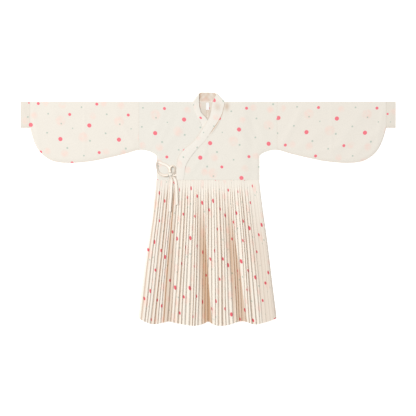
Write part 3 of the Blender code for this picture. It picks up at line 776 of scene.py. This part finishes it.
# Skirt. Three panels of the same cotton, cut about twice as wide as they lie and pressed into
# narrow pleats, forty to the skirt's width: the back, the inner front and the outer front.
PLEATS = 40
HEM_FALL = 705.0
OVERLAP_EDGE = 0.19
INNER_END = 0.81
FLANK = 0.86
HEM_SIDE = 349.0
HEM_WIDE = 690.0
SKIRT_WALL = 0.6
SKIRT_CLOTH = 1.2
LAYER = 0.4
PLEAT_CLOTH = 34.5
SKIRT_SIDES = ((0, 260, 256), (56, 266, 262), (155, 277, 274), (352, 304, 301), (705, 349, 341))
HEM = (
    (-349, 692), (-310, 711), (-260, 720), (-225, 712), (-200, 706), (-165, 713), (-120, 722),
    (-70, 728), (-20, 717), (0, 706), (22, 721), (65, 728), (110, 722), (145, 709), (185, 706),
    (210, 716), (240, 721), (270, 715), (305, 706), (341, 690),
)
PLEAT_ROWS = (
    (0.0, 1.2, 1.2, 1.2), (0.035, 1.8, 2.2, 2.4), (0.09, 3.0, 5.2, 5.5), (0.22, 4.0, 6.6, 8.5),
    (0.5, 4.5, 7.0, 10.5), (1.0, 5.0, 7.5, 11.5),
)
HUMPS = ((0.10, 0.10), (0.21, 0.246), (0.45, 0.533), (0.69, 0.791), (0.98, 1.05))
# Where each wave's shade begins and how deep it is: it flattens the pleats there and is painted on
# them as shade.
SHADED = ((0.5, 0.65), (0.66, 1.35), (0.58, 1.0), (0.32, 0.38))
PLEAT_PROFILE = ((0.0, 0.0), (0.08, 0.03), (0.2, 0.17), (0.45, 0.62), (0.62, 0.88), (0.74, 1.0),
                 (0.84, 0.96), (0.91, 0.5), (0.96, 0.12), (1.0, 0.0))
# Painted shade across one pleat, by its phase.
PLEAT_SHADE = (
    (0.0, 0.9), (0.1, 0.76), (0.36, 0.38), (0.5, 0.16), (0.78, 0.06), (0.86, 0.9), (1.0, 0.9),
)
CLOTH_USED = ((0.0, 0.0), (0.15, 0.18), (0.45, 0.42), (0.74, 0.66), (0.84, 0.73), (1.0, 1.0))
COLUMNS = 14
# The pleated panels' coral is darker than the print's own: painted shade of the pleats.
CORAL_WITH_PAINTED_SHADE = colour(228, 88, 106)
PLEAT_PRINT = (PRINT[0] + ((85, -38, 8.5), (245, -108, 8.0)), *PRINT[1:])
PLEAT_REPEAT = ((292.5, -62.0), (12.0, -242.0))


def column(table, value, x):
    """One column of a table read straight between its rows."""
    return np.interp(x, [row[0] for row in table], [row[value] for row in table])


def waves_at(share, fall):
    """How far across each wave of the open skirt a point is, and whether it is in it."""
    found = []
    for here, following in zip(HUMPS, HUMPS[1:]):
        start = here[0] + (here[1] - here[0]) * fall
        end = following[0] + (following[1] - following[0]) * fall
        within = (share - start) / (end - start)
        found.append((within, (within >= 0) & (within < 1)))
    return found


def hump(share, fall):
    """How far a wave of the open skirt stands: it rises steeply and sinks slowly to +X."""
    stands = np.zeros(np.broadcast(share, fall).shape)
    for within, inside_wave in waves_at(share, fall):
        part = blend(within / 0.16) * (1 - blend((within - 0.5) / 0.5))
        stands = np.where(inside_wave, part, stands)
    return stands


def ebb(share, fall):
    """How shaded the skirt is where a wave sinks away from the light."""
    shaded = np.zeros(np.broadcast(share, fall).shape)
    for (within, inside_wave), (begins, deep) in zip(waves_at(share, fall), SHADED):
        shaded = np.where(inside_wave, deep * blend((within - begins) / 0.22), shaded)
    return shaded


def back_level(fall):
    """Top of the back's pleats above the table."""
    return SKIRT_CLOTH + column(PLEAT_ROWS, 1, fall)


def inner_level(fall):
    """Middle of the inner front's cloth in the bottom of its pleats."""
    return back_level(fall) + LAYER + SKIRT_CLOTH / 2


def inner_pleat(share, fall):
    """Height of the inner front's pleats, which flatten under the outer front."""
    keeps = np.interp(share, (0.0, 0.165, 0.20, 0.27), (1.0, 1.0, 0.45, 0.0))
    return column(PLEAT_ROWS, 2, fall) * keeps


def outer_level(share, fall):
    """Middle of the outer front's cloth in the bottom of its pleats."""
    under = inner_level(fall) + inner_pleat(share - 0.01, fall) + SKIRT_CLOTH / 2
    under = under + (back_level(fall) - under) * blend((share - 0.01 - INNER_END - 0.01) / 0.05)
    lift = 0.5 * blend(1 - fall / 0.1) + 3.0 * fall * hump(share, fall)
    return under + LAYER + SKIRT_CLOTH / 2 + lift


def outer_pleat(share, fall):
    """Height of the outer front's pleats, more where a wave stands open."""
    return column(PLEAT_ROWS, 3, fall) * (0.62 + 0.38 * hump(share, fall))


def uneven(share):
    """Pleats are not all the same width."""
    return share + 0.0035 * np.sin(20.0 * share + 0.5) + 0.0012 * np.sin(57.0 * share)


def pleated(start, end):
    """Place across, height share in its pleat, flat place and painted shade of each column of a
    pleated stretch.
    """
    count = round((end - start) * PLEATS)
    pitch = (end - start) / count
    places = np.arange(count * COLUMNS + 1) / COLUMNS
    phase = places % 1.0
    flat = (np.floor(places) + np.interp(phase, *zip(*CLOTH_USED))) * PLEAT_CLOTH
    top = curve(PLEAT_PROFILE, phase)
    number = np.floor(places - 0.1)
    tall = 0.82 + 0.18 * np.sin(number * 2.4 + 1.0) * np.sin(number * 0.9)
    # Painted shade in each pleat's valley, stronger in some pleats than in others.
    dark = 0.62 + 0.38 * np.sin(number * 1.7) * np.sin(number * 3.1 + 2.0)
    deep = np.interp(phase, *zip(*PLEAT_SHADE)) * dark
    ends = blend(places) * blend(count - places)
    wander = (0.14 * np.sin(1.9 * places) + 0.06 * np.sin(4.3 * places + 1.0)) * ends
    return np.stack([uneven(start + pitch * (places + wander)), top * tall, flat, deep], axis=1)


def pleated_cotton(word, ground, start):
    """The same cotton for a pleated panel, whose folds show more spots, their coral darker as
    painted shade.
    """
    return cotton(
        "pleated cotton, " + word, ground, start, PLEAT_PRINT, PLEAT_REPEAT,
        coral_ink=CORAL_WITH_PAINTED_SHADE,
    )


def skirt_panel(name, columns, level, pleat, material, hem_share=1.0, lips=None,
                under_edge=False, waves=1.0):
    """A pleated panel from its waist seam to its hem.

    lips is the side where it is sewn flat, under_edge paints shade on it beside the panel over
    it, and waves says how much of the painted shade of the skirt's waves it takes.
    """
    share, top, flat_across, deep = (columns[:, k][None, :] for k in range(4))
    fall = np.concatenate((np.linspace(0, 0.12, 22)[:-1], np.linspace(0.12, 1.0, 66)))[:, None]
    right = curve(SKIRT_SIDES, fall * HEM_FALL, 1)
    left = curve(SKIRT_SIDES, fall * HEM_FALL, 2)
    reach = curve(HEM, -HEM_SIDE + share * HEM_WIDE)
    across = -right + share * (right + left)
    up = WAIST - fall * reach * hem_share
    across = across + 1.6 * np.sin(7.0 * fall + 38.0 * share) * fall
    shaded = ebb(share, fall)
    on_flank = blend((share - FLANK) / 0.06)
    rise = pleat(share, fall) * 0.82
    rise = rise * (1 - 0.35 * np.minimum(shaded, 1) * blend((fall - 0.1) / 0.4))
    rise = rise * (0.3 + 0.7 * blend((fall - 0.01) / 0.1)) * (1 - 0.85 * on_flank)
    height = level(share, fall) + top * rise
    if lips is not None:
        rim = abs(lips - share[0])
        height = LIP_Z + (height - LIP_Z) * blend(rim / 0.012)
    points = np.stack([across, up, height], axis=-1)
    flat = np.stack([np.broadcast_to(flat_across, up.shape), -fall * HEM_FALL + 0 * up], axis=-1)
    # Painted shade: tan in the pleats' valleys and on the sinking sides of the waves, fading at
    # the waist; on the inner front it is stronger, with a painted shadow along the outer front's
    # edge.
    sunk = waves * shaded * blend((fall - 0.04) / 0.5)
    deep = deep * (1 - 0.75 * on_flank)
    fold = np.clip(0.55 * deep + 0.55 * sunk, 0, 1)
    fold = fold * (0.14 + 0.86 * blend((fall - 0.01) / 0.13))
    if under_edge:
        fold = np.clip(fold * 1.5, 0, 1)
        edge = np.exp(-((share - OVERLAP_EDGE + 0.004) / 0.009) ** 2)
        fold = np.clip(fold + 1.3 * edge * blend((fall - 0.03) / 0.1), 0, 1)
    away = np.minimum(fall * HEM_FALL, (1 - fall) * HEM_FALL) + 0 * up
    seam = np.stack([flat[..., 0], away], axis=-1)
    return cloth(name, points, flat, material, SKIRT_WALL, seam, fold)


def plain(places, flat_start):
    """Columns of a stretch without pleats."""
    places = np.array(places)
    flat = flat_start + (places - places[0]) * HEM_WIDE
    return np.stack([places, 0 * places, flat, 0 * places], axis=1)


# The panels' grounds differ: the two fronts are painted lighter than the rest of the cotton, the
# outer front most, as painted light on the pleats.
back_columns = pleated(0.025, 0.98)
back_columns = np.concatenate((
    plain(np.linspace(0.0, 0.02, 4), -18.0), back_columns,
    plain(np.linspace(0.985, 1.0, 4), back_columns[-1, 2] + 3),
))
skirt_back = skirt_panel(
    "skirt_cloth_back", back_columns, lambda share, fall: BACK_Z + 0 * share * fall,
    lambda share, fall: column(PLEAT_ROWS, 1, fall) + 0 * share,
    pleated_cotton("back", colour(238, 232, 222), (120.0, -90.0)), 0.985, waves=0.3,
)
sew_on(skirt_back, ["skirt_back"])

inner_columns = pleated(0.016, 0.27)
inner_columns = np.concatenate((
    plain(np.linspace(0.0, 0.013, 6), -12.0), inner_columns,
    plain(np.linspace(0.28, INNER_END, 40), inner_columns[-1, 2] + 6),
))
skirt_inner = skirt_panel(
    "skirt_cloth_inner", inner_columns, lambda share, fall: inner_level(fall) + 0 * share,
    inner_pleat,
    pleated_cotton("inner front", colour(243, 237, 228), (30.0, -65.0)),
    lips=0.0, under_edge=True,
)
sew_on(skirt_inner, ["skirt_inner_front"])

outer_columns = pleated(OVERLAP_EDGE, 0.98)
outer_columns = np.concatenate((
    outer_columns, plain(np.linspace(0.983, 1.0, 7), outer_columns[-1, 2] + 3),
))
skirt_outer = skirt_panel(
    "skirt_cloth_outer", outer_columns, outer_level, outer_pleat,
    pleated_cotton("outer front", colour(245, 239, 229), (210.0, -40.0)),
    lips=1.0,
)
sew_on(skirt_outer, ["skirt_outer_front"])


# Ties. Narrow tapes of the same cotton, folded and stitched, tied in a bow at the wearer's
# right: one wide loop, one small loop that stands on its edge, a knot and two tails.
TAPE = 0.7
TAPE_WIDTH = 13.5
HALF_WALL = 0.6
LOOP_LARGE = (
    (-191.0, 184.0, 1.2, 9.0), (-193.5, 203.0, 1.6, 9.9), (-207.0, 218.0, 1.0, 10.0),
    (-230.0, 227.0, 0.6, 10.0), (-247.0, 235.0, 0.4, 9.9), (-254.0, 229.0, 0.3, 7.5),
    (-254.5, 212.0, 0.3, 7.0), (-250.0, 192.0, 0.3, 7.5), (-240.0, 177.0, 0.4, 8.2),
    (-220.0, 168.0, 0.8, 8.5), (-200.0, 170.0, 1.2, 8.0),
)
LOOP_SMALL = (
    (-187.5, 182.5, 0.6, 7.0), (-191.5, 196.0, 0.4, 6.5), (-188.0, 210.0, 0.4, 6.0),
    (-176.5, 216.0, 0.4, 6.0), (-165.5, 209.0, 0.4, 5.5), (-162.0, 194.0, 0.8, 5.5),
    (-166.5, 180.0, 1.8, 6.0), (-173.5, 173.5, 2.2, 6.5),
)
ROOT = ((-176.5, 168.5, 0.3, 8.0), (-163.0, 169.5, 0.3, 9.5), (-149.0, 171.0, 0.3, 10.0))
TAIL_LONG = (
    (-187.0, 162.0, 0.6, 9.0), (-184.0, 148.0, 0.6, 10.0), (-183.0, 130.0, 0.6, 10.0),
    (-184.5, 100.0, 0.6, 10.0), (-186.0, 65.0, 0.6, 10.0), (-189.5, 25.0, 0.6, 10.0),
    (-191.5, -13.0, 0.6, 10.0),
)
TAIL_SHORT = (
    (-177.0, 163.0, 0.6, 8.0), (-167.0, 150.0, 0.6, 9.9), (-162.0, 136.0, 0.6, 10.0),
    (-159.0, 110.0, 0.6, 10.0), (-157.0, 70.0, 0.6, 10.0), (-156.0, 22.0, 0.6, 10.0),
)
KNOT = (-186.0, 172.0)
KNOT_SIZE = (17.0, 13.0, 7.0)
KNOT_CLOTH = (0.048, 0.02)


def share_at(across, up):
    """Place across the skirt and fall of a point seen from above."""
    fall = (WAIST - up) / HEM_FALL
    right = float(curve(SKIRT_SIDES, fall * HEM_FALL, 1))
    left = float(curve(SKIRT_SIDES, fall * HEM_FALL, 2))
    return (across + right) / (right + left), fall


def over_inner(across, up):
    """Highest cloth under the long tail and the loops."""
    if up > WAIST:
        return FRONT_Z + HALF_WALL + 0.9 * float(blend((WAIST + 25.0 - up) / 25.0))
    share, fall = share_at(across, up)
    return float(inner_level(fall) + inner_pleat(0.0, fall)) + HALF_WALL


def over_outer(across, up):
    """Highest cloth under the short tail."""
    at_waist = float(outer_level(OVERLAP_EDGE, 0.0) + outer_pleat(OVERLAP_EDGE, 0.0)) + HALF_WALL
    if up > WAIST:
        climb = float(blend((WAIST + 18.0 - up) / 18.0))
        return FRONT_Z + HALF_WALL + (at_waist - FRONT_Z) * climb
    share, fall = share_at(across, up)
    near = [share + step for step in (-0.012, 0.0, 0.012)]
    return max(float(outer_level(at, fall) + outer_pleat(at, fall)) for at in near) + HALF_WALL


def rounded(table, steps=8):
    """The table's rows with smooth steps between them."""
    rows = np.array(table, float)
    run = np.arange(len(rows), dtype=float)
    at = np.linspace(0, len(rows) - 1, (len(rows) - 1) * steps + 1)
    return np.stack([curve(list(zip(run, rows[:, k])), at) for k in range(rows.shape[1])], axis=1)


def tape(name, table, under, node, material):
    """A strip of tape, which leans on its edge where it looks narrow."""
    rows = rounded(table)
    run = np.gradient(rows[:, :2], axis=0)
    run /= np.linalg.norm(run, axis=1, keepdims=True)
    flat_share = np.sqrt(np.clip(rows[:, 3] / 10.0, 0.0, 1.0))
    width = TAPE_WIDTH * flat_share
    stand = np.sqrt(1 - flat_share**2)
    edge = np.stack([-run[:, 1] * flat_share, run[:, 0] * flat_share, -stand], axis=1)
    edge = edge * width[:, None] / 2
    low = np.array([under(row[0], row[1]) for row in rows])
    height = low + rows[:, 2] + (width * stand + TAPE * flat_share) / 2
    middle = np.column_stack((rows[:, 0], rows[:, 1], height))
    share = np.linspace(-1, 1, 7)
    points = middle[:, None, :] + edge[:, None, :] * share[None, :, None]
    length = np.concatenate(([0.0], np.cumsum(np.linalg.norm(np.diff(middle, axis=0), axis=1))))
    flat = np.stack([np.broadcast_to(share * TAPE_WIDTH / 2, points.shape[:2]),
                     np.broadcast_to(length[:, None], points.shape[:2])], axis=-1)
    away = np.broadcast_to((1 - np.abs(share)) * TAPE_WIDTH / 2 + 3.2, points.shape[:2])
    seam = np.stack([flat[..., 1], away], axis=-1)
    # Painted shade along the tape's edges and where it stands on edge.
    rim = 0.75 * blend((np.abs(share) - 0.6) / 0.4) + 0.3 * stand[:, None]
    piece = cloth(name, points, flat, material, TAPE, seam, rim)
    sew_on(piece, [node])


tape_cotton = cotton("tape cotton", colour(252, 247, 238))
for word, rows, under, rests_on in (
    ("root", ROOT, over_inner, "body_right"),
    ("loop_large", LOOP_LARGE, over_inner, "body_right"),
    ("loop_small", LOOP_SMALL, over_inner, "body_right"),
    ("tail_long", TAIL_LONG, over_inner, "skirt_inner_front"),
    ("tail_short", TAIL_SHORT, over_outer, "skirt_outer_front"),
):
    tape("tie_cloth_" + word, rows, under, "tie_" + word, tape_cotton)

bpy.ops.object.select_all(action="DESELECT")
bpy.ops.mesh.primitive_uv_sphere_add(segments=40, ring_count=24, radius=0.5)
knot = bpy.context.active_object
knot.name = "tie_cloth_knot"
knot_middle = np.array((*KNOT, FRONT_Z + HALF_WALL + GAP + KNOT_SIZE[2] / 2))
balls = np.array([vertex.co[:] for vertex in knot.data.vertices])
wraps = 1 + 0.06 * np.cos(balls[:, 0] * 14 + balls[:, 1] * 5)
wraps = wraps - 0.10 * np.exp(-((balls[:, 0] - 0.1) * 9) ** 2)
balls = balls * np.array(KNOT_SIZE) * wraps[:, None] * 0.98 + knot_middle
knot.data.vertices.foreach_set("co", (balls * MM).ravel())
knot_map = knot.data.uv_layers[0]
knot_map.name = "flat"
knot_places = np.empty(2 * len(knot.data.loops))
knot_map.data.foreach_get("uv", knot_places)
knot_map.data.foreach_set("uv", knot_places * np.tile(KNOT_CLOTH, len(knot.data.loops)))
knot.data.shade_smooth()
knot.data.materials.append(tape_cotton)
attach(knot, "root")
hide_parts("tie_knot")


# Label. A small plain woven tab sewn flat inside the back neck, left bare.
LABEL_LOW = 495.0
LABEL_TOP = 531.0
LABEL_Z = 2.0
LABEL_WALL = 0.5
label_up, label_across = np.meshgrid(
    np.linspace(LABEL_LOW, LABEL_TOP, 14), np.linspace(-10.0, 6.0, 8), indexing="ij"
)
label_height = LABEL_Z + 0.25 * np.sin(label_up * 0.18)
label_away = np.minimum(label_up - LABEL_LOW, LABEL_TOP - label_up) + 2.0
label = cloth(
    "label_cloth",
    np.stack([label_across, label_up, label_height], axis=-1),
    np.stack([label_across, label_up], axis=-1),
    cotton("woven tab", colour(250, 250, 250)),
    LABEL_WALL,
    np.stack([label_across, label_away], axis=-1),
)
sew_on(label, ["neck_label"])
